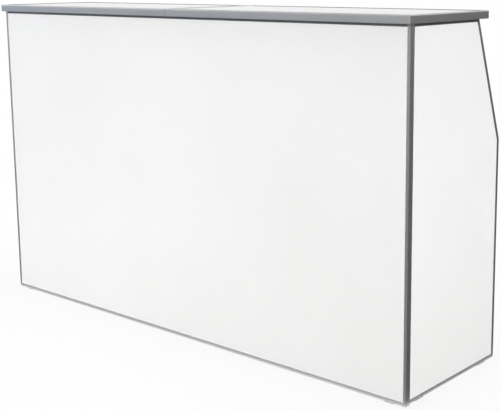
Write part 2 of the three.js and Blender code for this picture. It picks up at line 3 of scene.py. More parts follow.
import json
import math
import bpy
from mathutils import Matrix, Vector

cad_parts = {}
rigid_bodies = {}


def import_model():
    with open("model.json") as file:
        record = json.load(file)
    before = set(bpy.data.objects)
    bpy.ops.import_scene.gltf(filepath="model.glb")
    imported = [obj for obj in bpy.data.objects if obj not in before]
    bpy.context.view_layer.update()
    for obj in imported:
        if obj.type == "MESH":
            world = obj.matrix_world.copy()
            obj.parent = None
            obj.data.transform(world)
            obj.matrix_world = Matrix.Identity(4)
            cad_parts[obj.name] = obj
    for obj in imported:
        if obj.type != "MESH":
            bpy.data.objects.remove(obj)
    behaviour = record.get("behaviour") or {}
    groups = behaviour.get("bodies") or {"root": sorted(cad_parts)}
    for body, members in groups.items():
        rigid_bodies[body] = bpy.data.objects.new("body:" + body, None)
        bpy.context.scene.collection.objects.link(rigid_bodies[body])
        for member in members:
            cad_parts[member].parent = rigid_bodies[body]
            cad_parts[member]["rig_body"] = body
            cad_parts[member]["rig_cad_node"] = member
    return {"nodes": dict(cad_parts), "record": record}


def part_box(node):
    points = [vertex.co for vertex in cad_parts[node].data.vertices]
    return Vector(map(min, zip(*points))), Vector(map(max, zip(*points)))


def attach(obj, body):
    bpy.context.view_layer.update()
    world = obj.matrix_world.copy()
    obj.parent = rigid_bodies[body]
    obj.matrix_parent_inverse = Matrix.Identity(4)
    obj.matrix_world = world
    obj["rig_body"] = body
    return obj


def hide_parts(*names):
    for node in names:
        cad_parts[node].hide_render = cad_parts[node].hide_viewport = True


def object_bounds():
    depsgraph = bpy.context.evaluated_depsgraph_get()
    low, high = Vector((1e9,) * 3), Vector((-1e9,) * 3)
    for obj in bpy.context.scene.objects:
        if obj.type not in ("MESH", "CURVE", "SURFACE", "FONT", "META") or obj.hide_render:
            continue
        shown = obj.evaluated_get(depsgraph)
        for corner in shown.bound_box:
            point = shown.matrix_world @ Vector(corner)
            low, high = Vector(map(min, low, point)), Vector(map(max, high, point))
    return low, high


bl_info = {
    "name": "Folding Portable Bar",
    "version": (1, 0, 0),
    "blender": (4, 5, 0),
    "location": "View3D > Sidebar > Portable Bar",
    "description": "Dresses a folding portable bar and sets up its studio",
    "category": "Object",
}

import bpy
from mathutils import Euler, Quaternion, Vector

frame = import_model()
CAD_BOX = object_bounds()

SIDES = ("left", "right")
AXES = {"X": Vector((1, 0, 0)), "Y": Vector((0, 1, 0)), "Z": Vector((0, 0, 1))}
WHITE = (1.0, 1.0, 1.0, 1.0)

# Thickness of the solids that screws stand on, and places of the screws in a bracket's plate
LEAF_THICKNESS = 0.0012
COUNTER_LEAF_THICKNESS = 0.002
PLATE_THICKNESS = 0.003
PLATE_SCREW_INSET = 0.0065
PLATE_SCREW_DROP = 0.026

# Depth over which a board's bare edge, or its underside with painted shade, shows
EDGE_REVEAL = 0.0006

# Sealant beads, whose dark colour also paints the shade line at the lips' step,
# and the play round the strip in the counter's seam
SEAL_WIDTH = 0.0008
SEAL_HEIGHT = 0.0012
SEAM_PLAY = 0.0001

# Clean-up and rounding of the meshes
MERGE_DISTANCE = 1e-5
SLIVER_WIDTH = 1e-6
BEVEL_SEGMENTS = 2
FLAT_ANGLE = math.radians(0.4)
SHARP_ANGLE = math.radians(38)
FACING = 0.9

# Screw heads
SCREW_SIDES = 28
SCREW_SHARP_ANGLE = math.radians(30)
SCREW_TURN = math.radians(37)

# Sockets of the Mix node for colours, and the share of each finer octave of noise
MIX_FIRST = 6
MIX_SECOND = 7
MIX_RESULT = 2
NOISE_ROUGHNESS = 0.55

# Place and size of each soft box, whose power is a setting
SOFT_BOXES = {
    "front": ((-1.0, -4.0, 0.22), (3.4, 0.4)),
    "side": ((4.2, -0.4, 0.45), (2.4, 0.9)),
    "left": ((-4.2, 0.4, 0.6), (2.4, 0.9)),
    "rear": ((0.0, 4.0, 0.9), (3.4, 1.2)),
    "top": ((0.0, 0.0, 4.0), (3.4, 2.4)),
}

# Floor and cards
FLOOR_SIZE = 60.0
FLOOR_DROP = 0.0004
CARD_LIFT = 0.0006
CARD_REACH = 6.0
FRONT_CARD_WIDTH = 30.0
FRONT_CARD_HEIGHT = 2.24
SIDE_CARD_PLACE = (2.2, 0.9, 0.81)
SIDE_CARD_FACING = (-0.56, -0.83, 0.0)
SIDE_CARD_SIZE = (4.4, 1.62)
CEILING_HEIGHT = 4.0
CEILING_SIZE = (8.0, 8.0)

# Where a front card goes from cool to plain, as shares of its width from the left
COOL_SPAN = (0.18, 0.34)


# Settings

def colour_setting(name, description, default):
    return bpy.props.FloatVectorProperty(
        name=name, description=description, subtype="COLOR", default=default, min=0.0, max=1.0,
    )


def factor_setting(name, description, default):
    return bpy.props.FloatProperty(
        name=name, description=description, subtype="FACTOR", default=default, min=0.0, max=1.0,
    )


def length_setting(name, description, default, **limits):
    return bpy.props.FloatProperty(
        name=name, description=description, unit="LENGTH", default=default, **limits,
    )


def angle_setting(name, description, default):
    return bpy.props.FloatProperty(
        name=name, description=description, unit="ROTATION", default=default,
    )


def power_setting(name, description, default):
    return bpy.props.FloatProperty(
        name=name, description=description, unit="POWER", default=default, min=0.0,
    )


class BarFinishes(bpy.types.PropertyGroup):
    """Colours and gloss of the bar's surfaces."""

    laminate: colour_setting("Laminate", "Colour of the white panels", (0.866, 0.866, 0.863))
    laminate_shade: colour_setting(
        "Laminate shade", "Slightly deeper tone that clouds the panels", (0.842, 0.840, 0.834),
    )
    laminate_roughness: factor_setting(
        "Laminate roughness", "Roughness of the clean laminate", 0.26,
    )
    # Painted shade: a near-black sheet on the counter's underside, where there is only shade
    underside_painted_shade: colour_setting(
        "Backing sheet", "Colour of the sheet under the counter", (0.030, 0.029, 0.028),
    )
    plywood_light: colour_setting(
        "Plywood light ply", "Colour of the long-grain plies at a bare edge", (0.56, 0.40, 0.24),
    )
    plywood_dark: colour_setting(
        "Plywood dark ply", "Colour of the end-grain plies at a bare edge", (0.33, 0.20, 0.10),
    )
    ply_thickness: length_setting(
        "Ply thickness", "Thickness of one ply", 0.0014, min=0.0005, max=0.005,
    )
    aluminium: colour_setting("Aluminium", "Colour of the satin edge trims", (0.888, 0.895, 0.902))
    aluminium_shade: colour_setting(
        "Aluminium shade", "Darker die lines along the trims", (0.808, 0.815, 0.822),
    )
    aluminium_roughness: factor_setting(
        "Aluminium roughness", "Roughness of the satin trims", 0.52,
    )
    # Painted shade: the trims under the counter are darker for the counter's shade on them
    top_trim_painted_shade: factor_setting(
        "Top trim depth", "Tone of the trims under the counter against the other trims", 0.48,
    )
    steel: colour_setting(
        "Steel", "Colour of the zinc-plated hinges and screws", (0.585, 0.590, 0.600),
    )
    steel_shade: colour_setting(
        "Steel shade", "Darker grains of the zinc plating", (0.470, 0.478, 0.490),
    )
    powder_coat: colour_setting(
        "Powder coat", "Colour of the shelf brackets and the counter hinge", (0.880, 0.880, 0.872),
    )
    rubber: colour_setting("Rubber", "Colour of the feet", (0.018, 0.018, 0.019))
    nylon: colour_setting(
        "Nylon", "Colour of the turn buttons, glides and magnet housing", (0.160, 0.166, 0.174),
    )
    # Partly painted shade: real sealant, whose near-black colour also paints the lips' shade line
    sealant_and_shade: colour_setting(
        "Sealant", "Colour of the beads round the counter's fields and of the seam strip",
        (0.050, 0.051, 0.053),
    )


class BarEdges(bpy.types.PropertyGroup):
    """How far the edges of the pieces are rounded over."""

    board: length_setting("Boards", "Edge radius of the boards", 0.0003, min=0.0, max=0.002)
    trim: length_setting("Trims", "Edge radius of the trims", 0.00035, min=0.0, max=0.002)
    leaf: length_setting(
        "Hinges", "Edge radius of hinge leaves, pins and the strike plate", 0.00025,
        min=0.0, max=0.001,
    )
    bracket: length_setting(
        "Brackets", "Edge radius of the coated brackets", 0.0008, min=0.0, max=0.002,
    )
    moulding: length_setting(
        "Mouldings", "Edge radius of plastic and rubber pieces and of the dowels", 0.0009,
        min=0.0, max=0.002,
    )


class BarFasteners(bpy.types.PropertyGroup):
    """Sizes and places of the screws."""

    head_radius: length_setting(
        "Head radius", "Radius of a screw's oval head", 0.0034, min=0.001, max=0.01,
    )
    head_rise: length_setting(
        "Head rise", "How far a screw's head stands proud", 0.0009, min=0.0002, max=0.004,
    )
    low_rise: length_setting(
        "Low head rise", "How far a counter screw's head stands proud", 0.0005,
        min=0.0001, max=0.0006,
    )
    hinge_spacing: length_setting(
        "Hinge spacing", "Distance between the screws of a continuous hinge", 0.082,
        min=0.03, max=0.3,
    )
    leaf_inset: length_setting(
        "Leaf inset", "Distance of a screw from the free edge of a wide leaf", 0.0125,
        min=0.004, max=0.03,
    )
    narrow_inset: length_setting(
        "Narrow leaf inset", "Distance of a screw from the free edge of a counter leaf", 0.0062,
        min=0.003, max=0.03,
    )


class BarStudio(bpy.types.PropertyGroup):
    """Camera, floor, lamps and mirrored cards."""

    camera_place: bpy.props.FloatVectorProperty(
        name="Camera", description="Where the camera stands", subtype="TRANSLATION", unit="LENGTH",
        default=(2.4112, -2.4779, 1.1972),
    )
    camera_azimuth: angle_setting(
        "Azimuth", "Turn of the camera round the bar, from straight in front", 0.6989,
    )
    camera_pitch: angle_setting("Pitch", "How far the camera looks down", 0.1718)
    camera_roll: angle_setting("Roll", "Turn of the picture about the line of sight", -0.0057)
    focal_pixels: bpy.props.FloatProperty(
        name="Focal length", description="Focal length in pixels of the picture", default=1020.6,
        min=1.0,
    )
    centre_pixels: bpy.props.FloatVectorProperty(
        name="Principal point", description="Where the line of sight meets the picture, in pixels",
        size=2, default=(300.0, 151.4),
    )
    picture_pixels: bpy.props.FloatVectorProperty(
        name="Picture", description="Width and height of the picture in pixels", size=2,
        default=(500.0, 410.0),
    )
    floor: colour_setting("Floor", "Colour of the pale floor", (0.97, 0.97, 0.97))
    floor_lift: factor_setting(
        "Floor lift", "Share of plain white in the floor beside the bar", 0.84,
    )
    floor_fade: length_setting(
        "Floor fade", "Distance from the bar at which the floor is plain white", 1.0, min=0.1,
    )
    sky: bpy.props.FloatProperty(
        name="Sky", description="Strength of the even light from all around", default=0.45,
        min=0.0, max=4.0,
    )
    front_power: power_setting("Front box", "Power of the soft box in front", 75.0)
    side_power: power_setting("Side box", "Power of the soft box at the right", 57.0)
    left_power: power_setting("Left box", "Power of the soft box at the left", 34.0)
    rear_power: power_setting("Rear box", "Power of the soft box behind", 40.0)
    top_power: power_setting("Top box", "Power of the soft box overhead", 58.0)
    front_tone: colour_setting(
        "Front card", "Tone of the floor that the front trims mirror", (0.146, 0.146, 0.145),
    )
    wall_tone: colour_setting(
        "Wall card", "Tone of the wall that the front trims mirror", (0.215, 0.214, 0.211),
    )
    cool_factors: bpy.props.FloatVectorProperty(
        name="Cool end", description="Factors on the tone of the front cards at their left end",
        size=3, default=(0.30, 0.95, 2.40), min=0.0,
    )
    ceiling_tone: colour_setting(
        "Ceiling card", "Tone of the ceiling that rounded edges mirror", (0.45, 0.45, 0.46),
    )
    side_tone: colour_setting(
        "Side cards", "Tone of the cards that the right-hand trims mirror", (0.069, 0.068, 0.066),
    )
    front_gap: length_setting(
        "Front gap", "Bare floor between the counter's front edge and the card", 0.0, min=0.0,
    )
    side_gap: length_setting(
        "Side gap", "Bare floor between the counter's right end and the card", 0.007, min=0.0,
    )


# Shader maths

class Value:
    """A number in a node tree. Arithmetic on it adds Math nodes."""

    def __init__(self, tree, socket):
        self.tree = tree
        self.socket = socket

    def joined(self, operation, other):
        node = self.tree.node("ShaderNodeMath", {"operation": operation}, {0: self, 1: other})
        return Value(self.tree, node.outputs[0])

    def __add__(self, other):
        return self.joined("ADD", other)

    def __sub__(self, other):
        return self.joined("SUBTRACT", other)

    def __mul__(self, other):
        return self.joined("MULTIPLY", other)

    def __lt__(self, other):
        return self.joined("LESS_THAN", other)

    def __gt__(self, other):
        return self.joined("GREATER_THAN", other)

    def __abs__(self):
        return self.joined("ABSOLUTE", 0.0)

    def sine(self):
        return self.joined("SINE", 0.0)

    def at_least(self, other):
        return self.joined("MAXIMUM", other)


class Tree:
    """A node tree that is written as expressions."""

    def __init__(self, node_tree):
        self.nodes = node_tree.nodes
        self.links = node_tree.links

    def node(self, kind, settings=None, sockets=None):
        """Adds a node, with its settings first and then the values or links of its sockets."""
        node = self.nodes.new(kind)
        for name, value in (settings or {}).items():
            setattr(node, name, value)
        for key, value in (sockets or {}).items():
            self.feed(node.inputs[key], value)
        return node

    def feed(self, socket, value):
        if isinstance(value, Value):
            self.links.new(value.socket, socket)
        elif isinstance(value, bpy.types.NodeSocket):
            self.links.new(value, socket)
        else:
            socket.default_value = value

    def show(self, shader):
        """Feeds a shader node to the tree's output."""
        output = next(node for node in self.nodes if node.type.startswith("OUTPUT"))
        self.feed(output.inputs["Surface"], shader.outputs[0])

    def own_place(self):
        """The piece's own coordinates, in metres."""
        return self.node("ShaderNodeTexCoord").outputs["Object"]

    def coordinate(self, axis):
        """One of the piece's own coordinates, in metres."""
        parts = self.node("ShaderNodeSeparateXYZ", None, {0: self.own_place()})
        return Value(self, parts.outputs[axis])

    def noise(self, scale, detail, stretch=(1.0, 1.0, 1.0), turn=(0.0, 0.0, 0.0)):
        """Noise on the piece's own coordinates. The scale is in ripples per metre."""
        mapping = self.node(
            "ShaderNodeMapping", None,
            {"Vector": self.own_place(), "Rotation": turn, "Scale": stretch},
        )
        texture = self.node("ShaderNodeTexNoise", None, {
            "Vector": mapping.outputs[0],
            "Scale": scale,
            "Detail": detail,
            "Roughness": NOISE_ROUGHNESS,
        })
        return Value(self, texture.outputs[0])

    def ramp(self, value, low, high, start=0.0):
        """A number that climbs from start to 1 while the value goes from low to high."""
        node = self.node("ShaderNodeValToRGB", None, {0: value})
        stops = zip(node.color_ramp.elements, (low, high), (start, 1.0))
        for element, place, level in stops:
            element.position = place
            element.color = (level, level, level, 1.0)
        return Value(self, node.outputs[0])

    def mixed(self, share, first, second):
        """A colour between two colours."""
        node = self.node(
            "ShaderNodeMix", {"data_type": "RGBA"},
            {"Factor": share, MIX_FIRST: first, MIX_SECOND: second},
        )
        return node.outputs[MIX_RESULT]

    def mixed_shader(self, share, first, second):
        """A shader node between two shader nodes."""
        return self.node(
            "ShaderNodeMixShader", None, {0: share, 1: first.outputs[0], 2: second.outputs[0]},
        )

    def rays_that_look(self):
        """1 for camera, glossy and transmission rays, which show the background as it is."""
        path = self.node("ShaderNodeLightPath")
        camera = Value(self, path.outputs["Is Camera Ray"])
        glossy = Value(self, path.outputs["Is Glossy Ray"])
        through = Value(self, path.outputs["Is Transmission Ray"])
        return camera.at_least(glossy).at_least(through)


class Finish(Tree):
    """A procedural material on the Principled shader."""

    def __init__(self, name):
        self.material = bpy.data.materials.new(name)
        self.material.use_nodes = True
        super().__init__(self.material.node_tree)
        self.shader = next(node for node in self.nodes if node.type == "BSDF_PRINCIPLED")

    def surface(self, **sockets):
        """Feeds the Principled shader. Underscores in the names stand for spaces."""
        for name, value in sockets.items():
            self.feed(self.shader.inputs[name.replace("_", " ")], value)

    def relief(self, height, depth, strength):
        """Feeds the shader's normal from a height between 0 and 1 and a depth in metres."""
        bump = self.node(
            "ShaderNodeBump", None, {"Strength": strength, "Distance": depth, "Height": height},
        )
        self.feed(self.shader.inputs["Normal"], bump.outputs[0])


def opaque(colour):
    return (*colour, 1.0)


def toned(colour, depth):
    """A colour made deeper by one factor."""
    return tuple(depth * part for part in colour)


# Materials

def laminate(name, bare_edge=None, ply_axis="Z", shaded_underside=None):
    """White semi-gloss laminate.

    A bare edge (a mask function) shows plies stacked along the ply axis, and a shaded underside
    (a mask function) shows painted shade: a near-black sheet where there is only shade.
    """
    settings = bpy.context.scene.bar_finishes
    handled_roughness = 0.10
    texture_roughness = 0.04
    edge_roughness = 0.4
    finish = Finish(name)
    clouds = finish.ramp(finish.noise(scale=1.7, detail=3.0), low=0.38, high=0.68)
    white = finish.mixed(clouds, opaque(settings.laminate), opaque(settings.laminate_shade))
    # Painted shade: the counter's underside is painted near black for the shade under the counter
    if shaded_underside is not None:
        white = finish.mixed(shaded_underside(finish), white, opaque(settings.underside_painted_shade))
    smears = finish.noise(scale=5.5, detail=6.0, stretch=(1.0, 1.0, 0.45))
    handling = finish.ramp(smears, low=0.5, high=0.8)
    texture = finish.noise(scale=950.0, detail=2.0)
    worn = handling * handled_roughness + texture * texture_roughness
    roughness = worn + settings.laminate_roughness
    if bare_edge is None:
        finish.surface(Base_Color=white, Roughness=roughness)
    else:
        edge = bare_edge(finish)
        finish.surface(
            Base_Color=finish.mixed(edge, white, plywood_edge(finish, settings, ply_axis)),
            Roughness=roughness + edge * edge_roughness,
        )
    finish.relief(texture, depth=0.00004, strength=0.35)
    return finish.material


def plywood_edge(finish, settings, ply_axis):
    """The bare edge of plywood: plies of long grain and end grain by turns."""
    ply_contrast = 0.42
    grain_contrast = 0.5
    tone = 0.22
    turns_per_metre = math.pi / settings.ply_thickness
    wave = (finish.coordinate(ply_axis) * turns_per_metre).sine()
    grain = finish.noise(scale=420.0, detail=4.0)
    plies = finish.ramp(wave * ply_contrast + grain * grain_contrast + tone, low=0.36, high=0.64)
    return finish.mixed(plies, opaque(settings.plywood_dark), opaque(settings.plywood_light))


def satin_aluminium(name, run, turn=(0.0, 0.0, 0.0), depth=1.0):
    """Anodised extrusion with die lines along its run, with painted shade: its tone made deeper by
    a factor.
    """
    settings = bpy.context.scene.bar_finishes
    along_the_run = 0.004
    line_share = 0.7
    bloom_share = 0.3
    line_roughness = 0.10
    bloom_roughness = 0.06
    mean_rise = (line_roughness + bloom_roughness) / 2
    finish = Finish(name)
    stretch = tuple(along_the_run if component else 1.0 for component in AXES[run])
    lines = finish.noise(scale=900.0, detail=3.0, stretch=stretch, turn=turn)
    bloom = finish.noise(scale=9.0, detail=4.0)
    shade = finish.ramp(lines * line_share + bloom * bloom_share, low=0.34, high=0.66)
    light = opaque(toned(settings.aluminium, depth))
    dark = opaque(toned(settings.aluminium_shade, depth))
    texture = lines * line_roughness + bloom * bloom_roughness
    finish.surface(
        Base_Color=finish.mixed(shade, dark, light),
        Metallic=1.0,
        Roughness=texture + (settings.aluminium_roughness - mean_rise),
    )
    finish.relief(lines, depth=0.00002, strength=0.4)
    return finish.material


def zinc_steel(name):
    """Zinc-plated rolled steel with small soft grains."""
    settings = bpy.context.scene.bar_finishes
    grain_share = 0.6
    film_share = 0.4
    grain_roughness = 0.16
    film_roughness = 0.08
    base_roughness = 0.24
    finish = Finish(name)
    grains = finish.noise(scale=260.0, detail=5.0)
    film = finish.noise(scale=22.0, detail=3.0)
    shade = finish.ramp(grains * grain_share + film * film_share, low=0.35, high=0.65)
    finish.surface(
        Base_Color=finish.mixed(shade, opaque(settings.steel_shade), opaque(settings.steel)),
        Metallic=1.0,
        Roughness=grains * grain_roughness + film * film_roughness + base_roughness,
    )
    finish.relief(grains, depth=0.00002, strength=0.3)
    return finish.material


def powder_coat(name):
    """White powder coat with its orange-peel surface."""
    colour = bpy.context.scene.bar_finishes.powder_coat
    deeper = 0.94
    peel_roughness = 0.12
    base_roughness = 0.36
    finish = Finish(name)
    peel = finish.noise(scale=520.0, detail=2.0)
    tone = finish.ramp(finish.noise(scale=14.0, detail=3.0), low=0.3, high=0.75)
    finish.surface(
        Base_Color=finish.mixed(tone, opaque(colour), opaque(toned(colour, deeper))),
        Roughness=peel * peel_roughness + base_roughness,
    )
    finish.relief(peel, depth=0.00012, strength=0.5)
    return finish.material


def moulded(name, colour, base_roughness, grain_scale):
    """Moulded nylon or rubber with a fine grain and rubbed patches."""
    rubbed_gain = 1.25
    rubbed_lift = 0.012
    grain_roughness = 0.14
    rubbed_roughness = 0.08
    finish = Finish(name)
    grain = finish.noise(scale=grain_scale, detail=3.0)
    rubbed = finish.ramp(finish.noise(scale=35.0, detail=4.0), low=0.42, high=0.72)
    lighter = tuple(min(1.0, rubbed_gain * part + rubbed_lift) for part in colour)
    finish.surface(
        Base_Color=finish.mixed(rubbed, opaque(colour), opaque(lighter)),
        Roughness=grain * grain_roughness + rubbed * rubbed_roughness + base_roughness,
    )
    finish.relief(grain, depth=0.00008, strength=0.6)
    return finish.material


# Modelling

def clear_selection():
    if bpy.context.mode != "OBJECT":
        bpy.ops.object.mode_set(mode="OBJECT")
    bpy.ops.object.select_all(action="DESELECT")


def activate(piece):
    clear_selection()
    piece.select_set(True)
    bpy.context.view_layer.objects.active = piece


def name_piece(piece, name):
    piece.name = name
    piece.data.name = name


def apply_modifier(piece, kind, **settings):
    """Adds a modifier, sets it and applies it."""
    activate(piece)
    modifier = piece.modifiers.new(kind.lower(), kind)
    for name, value in settings.items():
        setattr(modifier, name, value)
    bpy.ops.object.modifier_apply(modifier=modifier.name)


def merge_points(piece, distance):
    """Makes one point of points that lie closer together than a distance."""
    activate(piece)
    bpy.ops.object.mode_set(mode="EDIT")
    bpy.ops.mesh.select_all(action="SELECT")
    bpy.ops.mesh.remove_doubles(threshold=distance)
    bpy.ops.object.mode_set(mode="OBJECT")


def soften(piece, radius):
    """Rounds the sharp edges over and shades the rest as one surface."""
    apply_modifier(
        piece, "BEVEL", width=radius, segments=BEVEL_SEGMENTS, limit_method="ANGLE",
        angle_limit=SHARP_ANGLE, use_clamp_overlap=True,
    )
    merge_points(piece, SLIVER_WIDTH)
    bpy.ops.object.shade_smooth_by_angle(angle=SHARP_ANGLE)
    apply_modifier(piece, "WEIGHTED_NORMAL", keep_sharp=True)


def give(piece, material, slot, body):
    """Puts a finish on a piece and lets it ride on its body."""
    piece.data.materials.clear()
    piece.data.materials.append(material)
    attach(piece, body)


def body_of(node):
    return frame["nodes"][node]["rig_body"]


def slot_of(node):
    subparts = frame["record"]["subparts"]
    return next(part["material_slot"] for part in subparts if part["node"] == node)


def dress(node, material, radius):
    """Copies a solid, cleans its faces, rounds its edges over and puts the copy in its place."""
    activate(frame["nodes"][node])
    bpy.ops.object.duplicate()
    piece = bpy.context.object
    name_piece(piece, f"{node}_finished")
    del piece["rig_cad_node"]
    bpy.ops.object.parent_clear(type="CLEAR_KEEP_TRANSFORM")
    bpy.ops.mesh.customdata_custom_splitnormals_clear()
    merge_points(piece, MERGE_DISTANCE)
    bpy.ops.object.mode_set(mode="EDIT")
    bpy.ops.mesh.dissolve_limited(angle_limit=FLAT_ANGLE)
    bpy.ops.object.mode_set(mode="OBJECT")
    soften(piece, radius)
    give(piece, material, slot_of(node), body_of(node))
    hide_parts(node)


def select_faces(piece, chosen):
    """Goes into edit mode with the faces selected whose normals a test picks."""
    activate(piece)
    for face in piece.data.polygons:
        face.select = chosen(face.normal)
    bpy.ops.object.mode_set(mode="EDIT")
    bpy.ops.mesh.select_mode(type="FACE")


def block(name, low, high):
    """A box between two corners, with its faces square to the axes."""
    clear_selection()
    low = Vector(low)
    high = Vector(high)
    bpy.ops.mesh.primitive_cube_add(size=1, location=(low + high) / 2)
    piece = bpy.context.object
    name_piece(piece, name)
    piece.scale = high - low
    bpy.ops.object.transform_apply(location=True, rotation=True, scale=True)
    return piece


def cut(piece, cutter):
    """Takes the cutter's shape out of a piece, and the cutter out of the scene."""
    apply_modifier(piece, "BOOLEAN", object=cutter, operation="DIFFERENCE", solver="EXACT")
    bpy.data.objects.remove(cutter)


def oval_head_screw(radius, rise):
    """One screw head with a crossed recess. It stands on the XY plane at the origin."""
    crown_inset = 0.42 * radius
    crown_rise = 0.30 * rise
    cap_inset = 0.30 * radius
    cap_rise = 0.10 * rise
    recess_length = 1.15 * radius
    recess_width = 0.26 * radius
    recess_floor = AXES["Z"] * 0.55 * rise
    recess_top = AXES["Z"] * 2.25 * rise
    recess_taper = 0.72
    clear_selection()
    bpy.ops.mesh.primitive_cylinder_add(
        vertices=SCREW_SIDES, radius=radius, depth=rise, location=(0, 0, rise / 2),
    )
    head = bpy.context.object
    select_faces(head, lambda normal: normal.z > FACING)
    bpy.ops.mesh.inset(thickness=crown_inset, depth=crown_rise)
    bpy.ops.mesh.inset(thickness=cap_inset, depth=cap_rise)
    bpy.ops.object.mode_set(mode="OBJECT")
    for size in ((recess_length, recess_width, 0.0), (recess_width, recess_length, 0.0)):
        half = Vector(size) / 2
        cutter = block("recess_cutter", recess_floor - half, recess_top + half)
        select_faces(cutter, lambda normal: normal.z < -FACING)
        bpy.ops.transform.resize(value=(recess_taper, recess_taper, 1.0))
        bpy.ops.object.mode_set(mode="OBJECT")
        cut(head, cutter)
    activate(head)
    bpy.ops.object.shade_smooth_by_angle(angle=SCREW_SHARP_ANGLE)
    return head


def screws(name, body, places, outwards, material, slot, radius, rise):
    """Copies of one screw head at several places, joined into one piece, all facing outwards."""
    pattern = oval_head_screw(radius, rise)
    facing = outwards.to_track_quat("Z", "Y").to_euler()
    copies = []
    for index, place in enumerate(places):
        copy = pattern.copy()
        copy.data = pattern.data.copy()
        copy.location = place
        copy.rotation_euler = facing
        copy.rotation_euler.rotate_axis("Z", SCREW_TURN * index)
        bpy.context.scene.collection.objects.link(copy)
        copies.append(copy)
    bpy.data.objects.remove(pattern)
    activate(copies[0])
    for copy in copies:
        copy.select_set(True)
    bpy.ops.object.join()
    bpy.ops.object.transform_apply(location=True, rotation=True, scale=True)
    piece = bpy.context.object
    name_piece(piece, name)
    give(piece, material, slot, body)


def spread(low, high, spacing):
    """Even places from low to high, about the spacing apart, with half of it at the ends."""
    count = max(2, round((high - low) / spacing))
    step = (high - low) / count
    return [low + step * (index + 0.5) for index in range(count)]


# Pieces

class BAR_OT_boards(bpy.types.Operator):
    """Finish the laminated boards of the front, the sides, the counter and the shelf"""

    bl_idname = "portable_bar.boards"
    bl_label = "Boards"

    def execute(self, context):
        radius = context.scene.bar_edges.board
        dress("front_panel_board", laminate("white_laminate_front"), radius)

        side_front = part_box("right_side_board")[0].y + EDGE_REVEAL
        side = laminate(
            "white_laminate_sides", lambda finish: finish.coordinate("Y") < side_front, "X",
        )
        for hand in SIDES:
            dress(f"{hand}_side_board", side, radius)

        left_of_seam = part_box("counter_left_board")[1].x - EDGE_REVEAL
        right_of_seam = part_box("counter_right_board")[0].x + EDGE_REVEAL

        def at_seam(finish):
            across = finish.coordinate("X")
            return (across > left_of_seam) * (across < right_of_seam)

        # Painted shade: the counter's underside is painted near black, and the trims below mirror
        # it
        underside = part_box("counter_left_board")[0].z + EDGE_REVEAL
        counter = laminate(
            "white_laminate_counter", at_seam,
            shaded_underside=lambda finish: finish.coordinate("Z") < underside,
        )
        for hand in SIDES:
            dress(f"counter_{hand}_board", counter, radius)

        shelf_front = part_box("shelf_board")[0].y + EDGE_REVEAL
        shelf = laminate(
            "white_laminate_shelf", lambda finish: finish.coordinate("Y") < shelf_front,
        )
        dress("shelf_board", shelf, radius)
        return {"FINISHED"}


class BAR_OT_trims(bpy.types.Operator):
    """Finish the aluminium edge trims and the batten, with their die lines along each run"""

    bl_idname = "portable_bar.trims"
    bl_label = "Edge trims"

    def execute(self, context):
        radius = context.scene.bar_edges.trim
        low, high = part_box("right_side_trim_slope")
        lean = math.atan2(high.y - low.y, high.z - low.z)
        crosswise = satin_aluminium("satin_aluminium_crosswise", "X")
        inwards = satin_aluminium("satin_aluminium_inwards", "Y")
        upright = satin_aluminium("satin_aluminium_upright", "Z")
        sloping = satin_aluminium("satin_aluminium_sloping", "Z", (-lean, 0.0, 0.0))
        # Painted shade: the trims under the counter get a darker tone for the counter's shade on
        # them
        depth = context.scene.bar_finishes.top_trim_painted_shade
        shaded_crosswise = satin_aluminium("dull_aluminium_crosswise", "X", depth=depth)
        shaded_inwards = satin_aluminium("dull_aluminium_inwards", "Y", depth=depth)
        runs = {
            shaded_crosswise: ["front_trim_top"],
            shaded_inwards: [f"{hand}_side_trim_top" for hand in SIDES],
            crosswise: ["front_trim_bottom", "shelf_trim_rear"],
            inwards: ["shelf_trim_left", "shelf_trim_right", "counter_seam_batten"],
            upright: ["front_trim_left", "front_trim_right"],
            sloping: [],
        }
        for hand in SIDES:
            runs[crosswise] += [f"counter_{hand}_trim_front", f"counter_{hand}_trim_rear"]
            runs[inwards] += [f"counter_{hand}_trim_end", f"{hand}_side_trim_bottom"]
            runs[upright].append(f"{hand}_side_trim_rear")
            runs[sloping].append(f"{hand}_side_trim_slope")
        for material, nodes in runs.items():
            for node in nodes:
                dress(node, material, radius)
        return {"FINISHED"}


